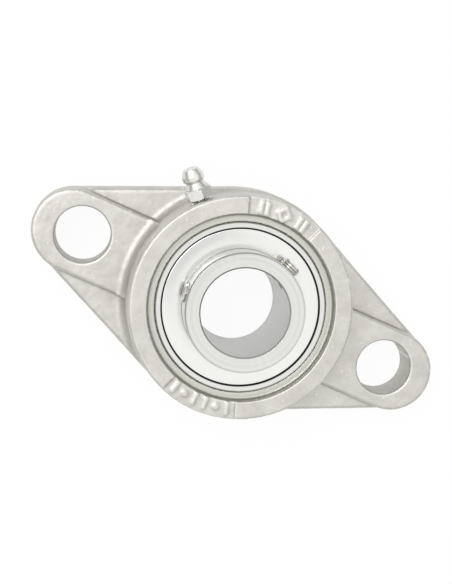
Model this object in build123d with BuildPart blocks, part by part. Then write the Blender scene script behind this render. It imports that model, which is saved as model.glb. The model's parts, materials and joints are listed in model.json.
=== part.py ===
from build123d import *
from math import acos, cos, degrees, radians, sin, sqrt, tan
import os

# A two-bolt rhombus flange unit: a cast stainless housing with a spherical seat, holding a deep
# groove ball bearing insert that locks onto its shaft with two set screws. Millimetres, degrees.
# The origin is the centre of the mounting face, +Z is the shaft axis pointing out of the housing,
# and the bolt holes lie on the X axis.

# Flange casting
bolt_spacing = 99.0
bolt_hole_diameter = 16.5
lug_wall = 4.25
lug_end_offset = 3.0
flange_margin = 0.6
lug_height = 13.0
web_height = 9.5
flange_draft = 1.5
lug_edge_radius = 1.2
web_edge_radius = 1.4
bolt_hole_chamfer = 0.4

# Bearing boss
housing_height = 27.0
boss_wall = 7.4
boss_draft = 2.3
boss_edge_radius = 0.9
boss_root_radius = 3.0
boss_root_overlap = 1.0

# Seat for the insert
seat_height = 16.0
seat_recess = 0.2
seat_clearance = 0.02
mouth_step = 1.0
mouth_taper = 0.15
mouth_chamfer = 0.3
back_bore_step = 1.5
back_bore_chamfer = 0.5
loading_slot_clearance = 0.4

# Foundry marks on the boss face
pad_sweep = 41.6
pad_depth = 0.5
mark_height = 0.4
mark_offset = 2.3
mark_size = 3.6
mark_line = 0.9
mark_dot_diameter = 1.8
front_mark_pitch = 11.5
back_mark_pitch = 6.4
back_mark_count = 6

# Insert rings
insert_diameter = 52.0
outer_ring_width = 17.0
outer_ring_chamfer = 0.25
shaft_diameter = 25.0
inner_ring_diameter = 34.0
inner_ring_front = 19.8
inner_ring_back = 14.3
inner_ring_chamfer = 0.5
bore_chamfer = 0.4

# Balls and raceways
ball_count = 9
ball_diameter = 7.938
pitch_circle_diameter = 39.0
race_conformity = 0.52
race_clearance = 0.01
outer_land_height = 1.579
first_ball_angle = 10.0

# Cage
cage_width = 2.8
cage_sheet = 0.7
pocket_clearance = 0.12
rivet_diameter = 1.0
rivet_head_diameter = 1.8
rivet_head_height = 0.35

# Seals and flingers, one of each on both sides
seal_bore_wall = 2.9
seal_depth = 2.9
seal_groove_depth = 0.35
seal_groove_start = 0.35
seal_groove_width = 0.8
seal_rubber = 0.7
seal_shell_sheet = 0.5
seal_shell_gap = 1.4
seal_lip_clearance = 0.05
seal_lip_depth = 0.9
seal_rim = 0.2
seal_rim_recess = 0.35
flinger_sheet = 0.6
flinger_recess = 0.4
flinger_rim_depth = 1.0
flinger_gap = 0.15
flinger_edge_radius = 0.25

# Set screws
set_screw_diameter = 6.0
set_screw_length = 5.0
set_screw_clearance = 0.04
set_screw_from_front = 5.0
set_screw_angles = (67.0, 187.0)
set_screw_tip_gaps = (1.7, 0.2)
set_screw_socket = 3.0
set_screw_socket_depth = 2.3
set_screw_chamfer = 0.5
set_screw_cup_diameter = 3.0
set_screw_cup_depth = 0.6
set_screw_cup_slope = 45.0

# Grease way and grease nipple
grease_offset = 4.6
grease_groove_width = 3.0
grease_groove_depth = 0.8
ring_grease_hole_diameter = 2.0
ring_grease_hole_spacing = 120.0
grease_drill_diameter = 3.0
nipple_angle = 134.4
nipple_lean = 10.0
nipple_stand_off = 1.05
nipple_thread_diameter = 6.0
nipple_thread_clearance = 0.03
nipple_thread_length = 5.0
nipple_hole_runout = 0.6
nipple_hex = 7.0
nipple_hex_height = 3.0
nipple_hex_turn = 40.0
nipple_hex_chamfer = 0.45
nipple_shoulder_diameter = 6.7
nipple_neck_diameter = 5.0
nipple_neck_height = 4.6
nipple_neck_length = 0.2
nipple_head_diameter = 6.25
nipple_head_height = 5.5
nipple_head_band = 1.3
nipple_tip_diameter = 4.4
nipple_tip_height = 8.7
nipple_lip = 0.3
nipple_mouth_diameter = 1.9
nipple_bore_diameter = 2.7
nipple_ball_diameter = 2.4
nipple_ball_clearance = 0.02
spring_wire = 0.28
spring_diameter = 1.9
spring_turns = 11
washer_height = 0.5
washer_hole_diameter = 1.2

# How near an edge's radius or place has to be to the one looked for
edge_tolerance = 0.01

# Worked out from the sizes above
bolt_hole_radius = bolt_hole_diameter / 2
lug_end_radius = bolt_hole_radius + lug_wall
lug_end_x = bolt_spacing / 2 + lug_end_offset
insert_radius = insert_diameter / 2
seat_radius = insert_radius + seat_clearance
mouth_radius = insert_radius + mouth_step
back_bore_radius = insert_radius + back_bore_step
boss_root_edge = insert_radius + boss_wall
flange_radius = boss_root_edge + flange_margin
ring_face = outer_ring_width / 2
seat_half_width = ring_face - seat_recess
shoulder_height = seat_height + seat_half_width
bore_radius = shaft_diameter / 2
inner_radius = inner_ring_diameter / 2
pitch_radius = pitch_circle_diameter / 2
ball_radius = ball_diameter / 2
race_radius = race_conformity * ball_diameter
outer_race_bottom = pitch_radius + ball_radius + race_clearance
inner_race_bottom = pitch_radius - ball_radius - race_clearance
land_radius = outer_race_bottom - outer_land_height
seal_bore_radius = insert_radius - seal_bore_wall
seal_seat = ring_face - seal_depth
bearing_plane = Plane.XY.offset(seat_height)
section_plane = Plane(origin=(0, 0, seat_height), x_dir=(1, 0, 0), z_dir=(0, -1, 0))

os.makedirs("parts", exist_ok=True)


def write_part(builder, name):
    """Label a finished piece and write its STEP file."""
    builder.part.label = name
    export_step(builder.part, f"parts/{name}.step")


def boss_radius_at(height):
    """Radius of the boss's drafted wall at a height above the mounting face."""
    return boss_root_edge - height * tan(radians(boss_draft))


def sphere_radius_at(radius, offset):
    """Distance from the shaft axis to a sphere about the bearing centre, at an axial offset."""
    return sqrt(radius**2 - offset**2)


def root_profile(floor):
    """Corner points of the boss's concave root above a casting floor, with its arc centre."""
    top = floor + boss_root_radius
    wall = boss_radius_at(top)
    return wall, top, (wall + boss_root_radius, top)


def circles_of(builder, radius):
    """The builder's circular edges of one radius."""
    circles = builder.edges().filter_by(GeomType.CIRCLE)
    return circles.filter_by(lambda edge: abs(edge.radius - radius) < edge_tolerance)


def turned_ring(points):
    """A ring with a polygonal section, given as (radius, offset from the bearing centre)."""
    with BuildPart() as ring:
        with BuildSketch(section_plane):
            with BuildLine():
                Polyline(*points, close=True)
            make_face()
        revolve(axis=Axis.Z)
    return ring


# --- Outlines of the casting -------------------------------------------------------------------

# The flange is the outline that wraps the boss circle and the two end rounds.
tangent_angle = degrees(acos((flange_radius - lug_end_radius) / lug_end_x))
tangent_x = flange_radius * cos(radians(tangent_angle))
tangent_y = flange_radius * sin(radians(tangent_angle))
end_x = lug_end_x + lug_end_radius * cos(radians(tangent_angle))
end_y = lug_end_radius * sin(radians(tangent_angle))
boss_sweep = 180 - 2 * tangent_angle
end_sweep = 2 * tangent_angle

with BuildSketch() as flange_outline:
    with BuildLine():
        CenterArc((0, 0), flange_radius, tangent_angle, boss_sweep)
        Line((-tangent_x, tangent_y), (-end_x, end_y))
        CenterArc((-lug_end_x, 0), lug_end_radius, 180 - tangent_angle, end_sweep)
        Line((-end_x, -end_y), (-tangent_x, -tangent_y))
        CenterArc((0, 0), flange_radius, 180 + tangent_angle, boss_sweep)
        Line((tangent_x, -tangent_y), (end_x, -end_y))
        CenterArc((lug_end_x, 0), lug_end_radius, -tangent_angle, end_sweep)
        Line((end_x, end_y), (tangent_x, tangent_y))
    make_face()

with BuildSketch() as lug_outline:
    SlotCenterToCenter(2 * lug_end_x, 2 * lug_end_radius)


def clipped_root(outline, floor):
    """The concave root between the boss wall and a casting floor, kept inside that floor's outline."""
    wall, top, centre = root_profile(floor)
    inside = wall - boss_root_radius
    sunk = floor - boss_root_overlap
    with BuildPart() as root:
        with BuildSketch(Plane.XZ):
            with BuildLine():
                Line((inside, top), (wall, top))
                CenterArc(centre, boss_root_radius, 180, 90)
                Polyline((centre[0], floor), (centre[0], sunk), (inside, sunk), (inside, top))
            make_face()
        revolve(axis=Axis.Z)
        add(outline.sketch)
        extrude(amount=housing_height, taper=flange_draft, mode=Mode.INTERSECT)
    return root


web_root = clipped_root(flange_outline, web_height)
lug_root = clipped_root(lug_outline, lug_height)

# --- Grease nipple position --------------------------------------------------------------------

# The nipple points a little above the horizontal, its hexagon stands clear of the boss wall,
# and its drilling ends in the seat's groove.
nipple_outward = Vector(cos(radians(nipple_angle)), sin(radians(nipple_angle)), 0)
nipple_side = Vector(-sin(radians(nipple_angle)), cos(radians(nipple_angle)), 0)
nipple_axis = nipple_outward * cos(radians(nipple_lean)) + Vector(0, 0, sin(radians(nipple_lean)))
groove_height = seat_height + grease_offset
groove_reach = sphere_radius_at(seat_radius, grease_offset) + grease_groove_depth
nipple_wall_radius = boss_radius_at(groove_height) + nipple_stand_off
nipple_seat_height = groove_height + (nipple_wall_radius - groove_reach) * tan(radians(nipple_lean))
nipple_origin = nipple_outward * nipple_wall_radius + Vector(0, 0, nipple_seat_height)
nipple_plane = Plane(origin=nipple_origin, x_dir=nipple_side, z_dir=nipple_axis)
nipple_section = Plane(origin=nipple_origin, x_dir=nipple_side, z_dir=nipple_side.cross(nipple_axis))
nipple_line = Axis(nipple_origin, nipple_axis)
grease_drill_reach = nipple_wall_radius - groove_reach + 2 * grease_groove_depth
grease_drill_length = grease_drill_reach / cos(radians(nipple_lean))

# --- Housing -----------------------------------------------------------------------------------

boss_top_radius = boss_radius_at(housing_height)
seat_edge_radius = sphere_radius_at(seat_radius, seat_half_width)
back_height = seat_height - seat_half_width
slot_radius = seat_radius + loading_slot_clearance
slot_width = outer_ring_width + 2 * loading_slot_clearance
mark_radius = mouth_radius + mark_offset
mark_inside = mark_size - 2 * mark_line

with BuildPart() as lugs:
    add(lug_outline.sketch)
    extrude(amount=lug_height, taper=flange_draft)
    fillet(lugs.faces().sort_by(Axis.Z)[-1].edges(), lug_edge_radius)

with BuildPart() as housing:
    add(flange_outline.sketch)
    extrude(amount=web_height, taper=flange_draft)
    fillet(housing.faces().sort_by(Axis.Z)[-1].edges(), web_edge_radius)
    add(lugs.part)

    with BuildSketch(Plane.XZ):
        with BuildLine():
            Polyline(
                (0, 0),
                (boss_root_edge, 0),
                (boss_top_radius, housing_height),
                (0, housing_height),
                close=True,
            )
        make_face()
    revolve(axis=Axis.Z)
    add(web_root.part)
    add(lug_root.part)
    boss_rim = housing.edges().filter_by(GeomType.CIRCLE).group_by(Axis.Z)[-1]
    fillet(boss_rim, boss_edge_radius)

    # Mouth, spherical seat and back bore, turned in one set-up.
    with BuildSketch(Plane.XZ):
        with BuildLine():
            Polyline(
                (0, housing_height),
                (mouth_radius + mouth_chamfer, housing_height),
                (mouth_radius, housing_height - mouth_chamfer),
                (mouth_radius - mouth_taper, shoulder_height),
                (seat_edge_radius, shoulder_height),
            )
            ThreePointArc(
                (seat_edge_radius, shoulder_height),
                (seat_radius, seat_height),
                (seat_edge_radius, back_height),
            )
            Polyline(
                (seat_edge_radius, back_height),
                (back_bore_radius, back_height),
                (back_bore_radius, back_bore_chamfer),
                (back_bore_radius + back_bore_chamfer, 0),
                (0, 0),
                (0, housing_height),
            )
        make_face()
    revolve(axis=Axis.Z, mode=Mode.SUBTRACT)

    # Grease groove around the seat.
    with BuildSketch(Plane.XZ):
        with Locations((groove_reach - grease_groove_depth, groove_height)):
            Rectangle(2 * grease_groove_depth, grease_groove_width)
    revolve(axis=Axis.Z, mode=Mode.SUBTRACT)

    # Two slots from the mounting side, through which the insert goes in edge first.
    with BuildSketch(Plane.XY):
        Circle(slot_radius)
        Rectangle(2 * slot_radius, slot_width, mode=Mode.INTERSECT)
    extrude(amount=seat_height, mode=Mode.SUBTRACT)

    # Bolt holes.
    with GridLocations(bolt_spacing, 0, 2, 1):
        Hole(bolt_hole_radius)
    hole_edges = circles_of(housing, bolt_hole_radius).filter_by(
        lambda edge: abs(abs(edge.arc_center.X) - bolt_spacing / 2) < edge_tolerance
    )
    chamfer(hole_edges, bolt_hole_chamfer)

    # Tapped hole and drilling for the grease nipple.
    with BuildSketch(nipple_plane):
        Circle(nipple_thread_diameter / 2)
    extrude(amount=-(nipple_thread_length + nipple_hole_runout), mode=Mode.SUBTRACT)
    with BuildSketch(nipple_plane):
        Circle(grease_drill_diameter / 2)
    extrude(amount=-grease_drill_length, mode=Mode.SUBTRACT)

    # Two shallow pads in the boss face, carrying plain raised foundry marks.
    for middle in (90, 270):
        with BuildSketch(Plane.XY.offset(housing_height)):
            with BuildLine():
                pad_arc = CenterArc((0, 0), flange_radius, middle - pad_sweep / 2, pad_sweep)
                Polyline(pad_arc @ 1, (0, 0), pad_arc @ 0)
            make_face()
        extrude(amount=-pad_depth, mode=Mode.SUBTRACT)
    with BuildSketch(Plane.XY.offset(housing_height - pad_depth)):
        with PolarLocations(mark_radius, 1, start_angle=90):
            Rectangle(mark_size, mark_size, rotation=45)
            Rectangle(mark_inside, mark_inside, rotation=45, mode=Mode.SUBTRACT)
        for side in (-1, 1):
            with PolarLocations(mark_radius, 1, start_angle=90 + side * front_mark_pitch):
                with Locations((0, mark_line), (0, -mark_line)):
                    Rectangle(mark_size, mark_line)
        for step in range(back_mark_count):
            turn = (step - (back_mark_count - 1) / 2) * back_mark_pitch
            with PolarLocations(mark_radius, 1, start_angle=270 + turn):
                if step % 3 == 1:
                    Circle(mark_dot_diameter / 2)
                else:
                    Rectangle(mark_size, mark_line)
    extrude(amount=mark_height)

write_part(housing, "housing")

# --- Insert rings ------------------------------------------------------------------------------

ring_edge_radius = sphere_radius_at(insert_radius, ring_face)
outer_race_half = sqrt(race_radius**2 - (land_radius - outer_race_bottom + race_radius) ** 2)
groove_low = seal_seat + seal_groove_start
groove_high = groove_low + seal_groove_width
groove_radius = seal_bore_radius + seal_groove_depth


def seal_side(side):
    """The outer ring's stepped bore for one seal, from the raceway land out to the face."""
    return [
        (land_radius, side * outer_race_half),
        (land_radius, side * seal_seat),
        (seal_bore_radius, side * seal_seat),
        (seal_bore_radius, side * groove_low),
        (groove_radius, side * groove_low),
        (groove_radius, side * groove_high),
        (seal_bore_radius, side * groove_high),
        (seal_bore_radius, side * ring_face),
        (ring_edge_radius, side * ring_face),
    ]


with BuildPart() as outer_ring:
    with BuildSketch(section_plane):
        with BuildLine():
            ThreePointArc(
                (ring_edge_radius, -ring_face),
                (insert_radius, 0),
                (ring_edge_radius, ring_face),
            )
            Polyline(*seal_side(1))
            ThreePointArc(
                (land_radius, -outer_race_half),
                (outer_race_bottom, 0),
                (land_radius, outer_race_half),
            )
            Polyline(*seal_side(-1))
        make_face()
    revolve(axis=Axis.Z)
    chamfer(circles_of(outer_ring, ring_edge_radius), outer_ring_chamfer)
    for angle in (nipple_angle, nipple_angle + ring_grease_hole_spacing):
        outward = (cos(radians(angle)), sin(radians(angle)), 0)
        with BuildSketch(Plane(origin=(0, 0, groove_height), z_dir=outward)):
            Circle(ring_grease_hole_diameter / 2)
        extrude(amount=insert_radius, mode=Mode.SUBTRACT)

write_part(outer_ring, "outer_ring")

inner_race_half = sqrt(race_radius**2 - (inner_race_bottom + race_radius - inner_radius) ** 2)
set_screw_height = seat_height + inner_ring_front - set_screw_from_front

with BuildPart() as inner_ring:
    with BuildSketch(section_plane):
        with BuildLine():
            Polyline(
                (inner_radius, inner_race_half),
                (inner_radius, inner_ring_front - inner_ring_chamfer),
                (inner_radius - inner_ring_chamfer, inner_ring_front),
                (bore_radius + bore_chamfer, inner_ring_front),
                (bore_radius, inner_ring_front - bore_chamfer),
                (bore_radius, bore_chamfer - inner_ring_back),
                (bore_radius + bore_chamfer, -inner_ring_back),
                (inner_radius - inner_ring_chamfer, -inner_ring_back),
                (inner_radius, inner_ring_chamfer - inner_ring_back),
                (inner_radius, -inner_race_half),
            )
            ThreePointArc(
                (inner_radius, -inner_race_half),
                (inner_race_bottom, 0),
                (inner_radius, inner_race_half),
            )
        make_face()
    revolve(axis=Axis.Z)
    for angle in set_screw_angles:
        outward = (cos(radians(angle)), sin(radians(angle)), 0)
        with BuildSketch(Plane(origin=(0, 0, set_screw_height), z_dir=outward)):
            Circle(set_screw_diameter / 2)
        extrude(amount=inner_ring_diameter, mode=Mode.SUBTRACT)

write_part(inner_ring, "inner_ring")

# --- Balls and their riveted cage --------------------------------------------------------------

ball_pitch_angle = 360 / ball_count

for number in range(ball_count):
    with BuildPart(bearing_plane) as ball:
        with PolarLocations(pitch_radius, 1, start_angle=first_ball_angle + number * ball_pitch_angle):
            Sphere(ball_radius)
    write_part(ball, f"ball_{number + 1}")

pocket_radius = ball_radius + pocket_clearance
first_rivet_angle = first_ball_angle + ball_pitch_angle / 2

with BuildSketch(bearing_plane) as cage_band:
    Circle(pitch_radius + cage_width / 2)
    Circle(pitch_radius - cage_width / 2, mode=Mode.SUBTRACT)

for name, side in (("cage_front", 1), ("cage_back", -1)):
    with BuildPart() as cage_half:
        add(cage_band.sketch)
        extrude(amount=side * cage_sheet)
        with Locations(bearing_plane):
            with PolarLocations(pitch_radius, ball_count, start_angle=first_ball_angle):
                Sphere(pocket_radius + cage_sheet)
        add(cage_band.sketch)
        extrude(amount=side * ball_diameter, mode=Mode.INTERSECT)
        with Locations(bearing_plane):
            with PolarLocations(pitch_radius, ball_count, start_angle=first_ball_angle):
                Sphere(pocket_radius, mode=Mode.SUBTRACT)
            with PolarLocations(pitch_radius, ball_count, start_angle=first_rivet_angle):
                Cylinder(rivet_diameter / 2, 4 * cage_sheet, mode=Mode.SUBTRACT)
    write_part(cage_half, name)

with BuildPart(bearing_plane) as cage_rivets:
    with PolarLocations(pitch_radius, ball_count, start_angle=first_rivet_angle):
        Cylinder(rivet_diameter / 2, 2 * cage_sheet)
    for side in (-1, 1):
        with Locations((0, 0, side * (cage_sheet + rivet_head_height / 2))):
            with PolarLocations(pitch_radius, ball_count, start_angle=first_rivet_angle):
                Cylinder(rivet_head_diameter / 2, rivet_head_height)

write_part(cage_rivets, "cage_rivets")

# --- Seals and flingers ------------------------------------------------------------------------

rubber_top = seal_seat + seal_rubber
shell_top = rubber_top + seal_shell_sheet
rim_radius = seal_bore_radius - seal_rim
rim_top = ring_face - seal_rim_recess
lip_radius = inner_radius + seal_lip_clearance
lip_root = inner_radius + seal_lip_depth
shell_inner = inner_radius + seal_shell_gap
flinger_radius = rim_radius - flinger_gap
flinger_top = ring_face - flinger_recess
flinger_bottom = flinger_top - flinger_rim_depth
flinger_floor = flinger_top - flinger_sheet

for name, side in (("front", 1), ("back", -1)):
    seal_rubber_part = turned_ring(
        [
            (lip_radius, side * (rubber_top + seal_rubber / 2)),
            (lip_radius, side * rubber_top),
            (lip_root, side * seal_seat),
            (seal_bore_radius, side * seal_seat),
            (seal_bore_radius, side * groove_low),
            (groove_radius, side * groove_low),
            (groove_radius, side * groove_high),
            (seal_bore_radius, side * groove_high),
            (seal_bore_radius, side * rim_top),
            (rim_radius, side * rim_top),
            (rim_radius, side * rubber_top),
            (lip_root, side * rubber_top),
        ]
    )
    write_part(seal_rubber_part, f"{name}_seal_rubber")

    seal_shell = turned_ring(
        [
            (shell_inner, side * rubber_top),
            (rim_radius, side * rubber_top),
            (rim_radius, side * shell_top),
            (shell_inner, side * shell_top),
        ]
    )
    write_part(seal_shell, f"{name}_seal_shell")

    flinger = turned_ring(
        [
            (inner_radius, side * flinger_top),
            (flinger_radius - flinger_edge_radius, side * flinger_top),
            (flinger_radius, side * (flinger_top - flinger_edge_radius)),
            (flinger_radius, side * flinger_bottom),
            (flinger_radius - flinger_sheet, side * flinger_bottom),
            (flinger_radius - flinger_sheet, side * flinger_floor),
            (inner_radius + flinger_sheet, side * flinger_floor),
            (inner_radius + flinger_sheet, side * flinger_bottom),
            (inner_radius, side * flinger_bottom),
        ]
    )
    write_part(flinger, f"{name}_flinger")

# --- Set screws --------------------------------------------------------------------------------

set_screw_radius = set_screw_diameter / 2 - set_screw_clearance

for number, (angle, gap) in enumerate(zip(set_screw_angles, set_screw_tip_gaps), start=1):
    outward = Vector(cos(radians(angle)), sin(radians(angle)), 0)
    tip = outward * (bore_radius + gap) + Vector(0, 0, set_screw_height)
    tip_plane = Plane(origin=tip, z_dir=outward)
    with BuildPart(tip_plane) as set_screw:
        with BuildSketch(tip_plane):
            Circle(set_screw_radius)
        extrude(amount=set_screw_length)
        chamfer(set_screw.edges().filter_by(GeomType.CIRCLE), set_screw_chamfer)
        with BuildSketch(tip_plane.offset(set_screw_length)):
            RegularPolygon(set_screw_socket / 2, 6, major_radius=False)
        extrude(amount=-set_screw_socket_depth, mode=Mode.SUBTRACT)
        with BuildSketch(tip_plane):
            Circle(set_screw_cup_diameter / 2)
        extrude(amount=set_screw_cup_depth, taper=set_screw_cup_slope, mode=Mode.SUBTRACT)
    write_part(set_screw, f"set_screw_{number}")

# --- Grease nipple -----------------------------------------------------------------------------

shank_radius = nipple_thread_diameter / 2 - nipple_thread_clearance
hex_corner = nipple_hex / sqrt(3)
mouth_edge = nipple_tip_height - nipple_lip
nipple_bore_radius = nipple_bore_diameter / 2
neck_radius = nipple_neck_diameter / 2
head_radius = nipple_head_diameter / 2
head_top = nipple_head_height + nipple_head_band

with BuildPart(nipple_plane) as nipple_body:
    with BuildSketch(nipple_plane):
        RegularPolygon(nipple_hex / 2, 6, major_radius=False, rotation=nipple_hex_turn)
    extrude(amount=nipple_hex_height)
    with BuildSketch(nipple_section):
        with BuildLine():
            Polyline(
                (0, 0),
                (hex_corner, 0),
                (hex_corner, nipple_hex_height - nipple_hex_chamfer),
                (hex_corner - 2 * nipple_hex_chamfer, nipple_hex_height),
                (0, nipple_hex_height),
                close=True,
            )
        make_face()
    revolve(axis=nipple_line, mode=Mode.INTERSECT)
    with BuildSketch(nipple_section):
        with BuildLine():
            Polyline(
                (0, -nipple_thread_length),
                (shank_radius, -nipple_thread_length),
                (shank_radius, 0),
                (nipple_shoulder_diameter / 2, 0),
                (nipple_shoulder_diameter / 2, nipple_hex_height),
                (neck_radius, nipple_neck_height),
                (neck_radius, nipple_neck_height + nipple_neck_length),
                (head_radius, nipple_head_height),
                (head_radius, head_top),
                (nipple_tip_diameter / 2, nipple_tip_height),
                (0, nipple_tip_height),
                close=True,
            )
        make_face()
    revolve(axis=nipple_line)
    with BuildSketch(nipple_section):
        with BuildLine():
            Polyline(
                (0, -nipple_thread_length),
                (nipple_bore_radius, -nipple_thread_length),
                (nipple_bore_radius, mouth_edge),
                (nipple_mouth_diameter / 2, mouth_edge),
                (nipple_mouth_diameter / 2, nipple_tip_height),
                (0, nipple_tip_height),
                close=True,
            )
        make_face()
    revolve(axis=nipple_line, mode=Mode.SUBTRACT)

write_part(nipple_body, "nipple_body")

nipple_ball_radius = nipple_ball_diameter / 2
seat_drop = sqrt(nipple_ball_radius**2 - (nipple_mouth_diameter / 2) ** 2)
nipple_ball_height = mouth_edge - seat_drop - nipple_ball_clearance

with BuildPart(nipple_plane.offset(nipple_ball_height)) as nipple_ball:
    Sphere(nipple_ball_radius)

write_part(nipple_ball, "nipple_ball")

with BuildPart() as nipple_washer:
    with BuildSketch(nipple_plane.offset(-nipple_thread_length)):
        Circle(nipple_bore_radius)
        Circle(washer_hole_diameter / 2, mode=Mode.SUBTRACT)
    extrude(amount=washer_height)

write_part(nipple_washer, "nipple_washer")

wire_radius = spring_wire / 2
coil_radius = spring_diameter / 2
ball_rest = sqrt((nipple_ball_radius + wire_radius) ** 2 - coil_radius**2) + nipple_ball_clearance
spring_start = washer_height - nipple_thread_length + wire_radius
spring_length = nipple_ball_height - ball_rest - spring_start
spring_pitch = spring_length / spring_turns
spring_base = nipple_origin + nipple_axis * spring_start

with BuildPart() as nipple_spring:
    with BuildLine() as coil:
        Helix(spring_pitch, spring_length, coil_radius, center=spring_base, direction=nipple_axis)
    with BuildSketch(Plane(origin=coil.line @ 0, z_dir=coil.line % 0)):
        Circle(wire_radius)
    sweep(path=coil.line, is_frenet=True)

write_part(nipple_spring, "nipple_spring")
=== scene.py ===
"""The looks of a two-bolt rhombus flange bearing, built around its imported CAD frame.

Lengths in the classes are millimetres, as on the drawing of the unit, and become metres when a mesh
is made. The shaft axis is +Z, the mounting face is z = 0 and the bolt holes lie on X.
"""

from __future__ import annotations

import json
import logging
import math
from dataclasses import dataclass, field
from enum import Enum
from typing import Any, Sequence

import bmesh
import bpy
import numpy as np
from mathutils import Matrix, Vector, noise


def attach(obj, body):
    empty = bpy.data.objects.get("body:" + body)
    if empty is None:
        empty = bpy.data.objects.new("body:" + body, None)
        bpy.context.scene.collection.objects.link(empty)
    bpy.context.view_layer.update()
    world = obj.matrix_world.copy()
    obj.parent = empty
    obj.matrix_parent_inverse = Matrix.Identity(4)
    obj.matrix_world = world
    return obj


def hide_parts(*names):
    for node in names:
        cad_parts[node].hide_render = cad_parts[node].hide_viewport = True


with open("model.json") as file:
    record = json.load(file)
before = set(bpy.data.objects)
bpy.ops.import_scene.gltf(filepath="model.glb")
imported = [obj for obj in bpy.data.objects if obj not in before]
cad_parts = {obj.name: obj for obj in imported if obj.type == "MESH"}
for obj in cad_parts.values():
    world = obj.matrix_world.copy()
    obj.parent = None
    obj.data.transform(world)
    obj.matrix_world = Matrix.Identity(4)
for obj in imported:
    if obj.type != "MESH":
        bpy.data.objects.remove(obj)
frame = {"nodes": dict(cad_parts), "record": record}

LOG = logging.getLogger("flange_bearing")
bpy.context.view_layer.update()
MM = 0.001
# vertices closer than these, in metres, are joined: in made meshes and in the CAD mesh
WELD = 1e-7
CAD_WELD = 2e-6
SHARP_ANGLE = math.radians(32)
# shares of a thread's rise: its flat root, and its flank
THREAD_ROOT = 0.1
THREAD_FLANK = 0.72

Point = tuple[float, float]
Triple = tuple[float, float, float]
Colour = tuple[float, float, float]
Sockets = dict[str, Any]
Finishes = dict[str, bpy.types.Material]


# ------------------------------------------------------------------------------ mesh tools


class Side(Enum):
    """A side of the bearing."""

    FRONT = "front"
    BACK = "back"


@dataclass(frozen=True)
class Corner:
    """A corner of a turned outline, in millimetres.

    Args:
        radius: Distance from the axis of turning.
        height: Place along the axis.
        round: Radius of the corner's rounding.
    """

    radius: float
    height: float
    round: float = 0.0


def arc(centre: Point, radius: float, start: float, end: float, steps: int) -> list[Corner]:
    """Sample an arc of an outline.

    Args:
        centre: Centre as (radius, height).
        radius: The arc's radius.
        start: First angle in degrees, 0 pointing away from the axis.
        end: Last angle in degrees.
        steps: Number of chords.

    Returns:
        The arc's points as plain corners.
    """
    angles = np.radians(np.linspace(start, end, steps + 1))
    return [Corner(centre[0] + radius * math.cos(a), centre[1] + radius * math.sin(a)) for a in angles]


def rounded(corners: Sequence[Corner], closed: bool, steps: int = 4) -> list[Point]:
    """Round the corners of an outline.

    Args:
        corners: The outline's corners in order.
        closed: Whether the last corner joins the first.
        steps: Chords in each rounding.

    Returns:
        Points as (radius, height).
    """
    points: list[Point] = []
    count = len(corners)
    for i, corner in enumerate(corners):
        here = Vector((corner.radius, corner.height))
        if corner.round <= 0 or (not closed and i in (0, count - 1)):
            points.append((here.x, here.y))
            continue
        before = Vector((corners[i - 1].radius, corners[i - 1].height)) - here
        after_corner = corners[(i + 1) % count]
        after = Vector((after_corner.radius, after_corner.height)) - here
        half = before.angle(after) / 2
        reach = min(corner.round / math.tan(half), before.length * 0.48, after.length * 0.48)
        start = here + before.normalized() * reach
        end = here + after.normalized() * reach
        bisector = (before.normalized() + after.normalized()).normalized()
        centre = here + bisector * (reach / math.cos(half))
        a, b = start - centre, end - centre
        sweep = math.atan2(a.x * b.y - a.y * b.x, a.dot(b))
        for k in range(steps + 1):
            turned = Matrix.Rotation(sweep * k / steps, 2) @ a
            points.append(tuple(centre + turned))
    return points


def placed(origin: Vector, axis: Vector, side: Vector) -> Matrix:
    """Frame at a place, turned to two directions.

    Args:
        origin: The frame's origin, in millimetres.
        axis: The direction of its Z.
        side: The direction of its X, as far as axis leaves it free.

    Returns:
        The frame's matrix.
    """
    z = axis.normalized()
    x = (side - side.dot(z) * z).normalized()
    y = z.cross(x)
    matrix = Matrix((x, y, z)).transposed().to_4x4()
    matrix.translation = origin
    return matrix


UPRIGHT = Matrix.Identity(4)


def outward(angle: float) -> Vector:
    """Unit vector away from the shaft axis, at an angle in degrees."""
    return Vector((math.cos(math.radians(angle)), math.sin(math.radians(angle)), 0))


def mesh_object(
    name: str, verts: np.ndarray, faces: Sequence[Sequence[int]], place: Matrix
) -> bpy.types.Object:
    """Make a mesh object whose vertices hold its place.

    Args:
        name: The piece's name.
        verts: Vertices in millimetres, in the piece's own frame.
        faces: Vertex indices of each face.
        place: The piece's frame in the object, in millimetres.

    Returns:
        The new object, linked to the scene.
    """
    mesh = bpy.data.meshes.new(name)
    mesh.from_pydata([tuple(v) for v in verts], [], [tuple(f) for f in faces])
    mesh.transform(Matrix.Scale(MM, 4) @ place)
    tidy = bmesh.new()
    tidy.from_mesh(mesh)
    bmesh.ops.remove_doubles(tidy, verts=tidy.verts, dist=WELD)
    bmesh.ops.recalc_face_normals(tidy, faces=tidy.faces)
    tidy.to_mesh(mesh)
    tidy.free()
    mesh.shade_smooth()
    mesh.set_sharp_from_angle(angle=SHARP_ANGLE)
    piece = bpy.data.objects.new(name, mesh)
    bpy.context.scene.collection.objects.link(piece)
    return piece


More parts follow.
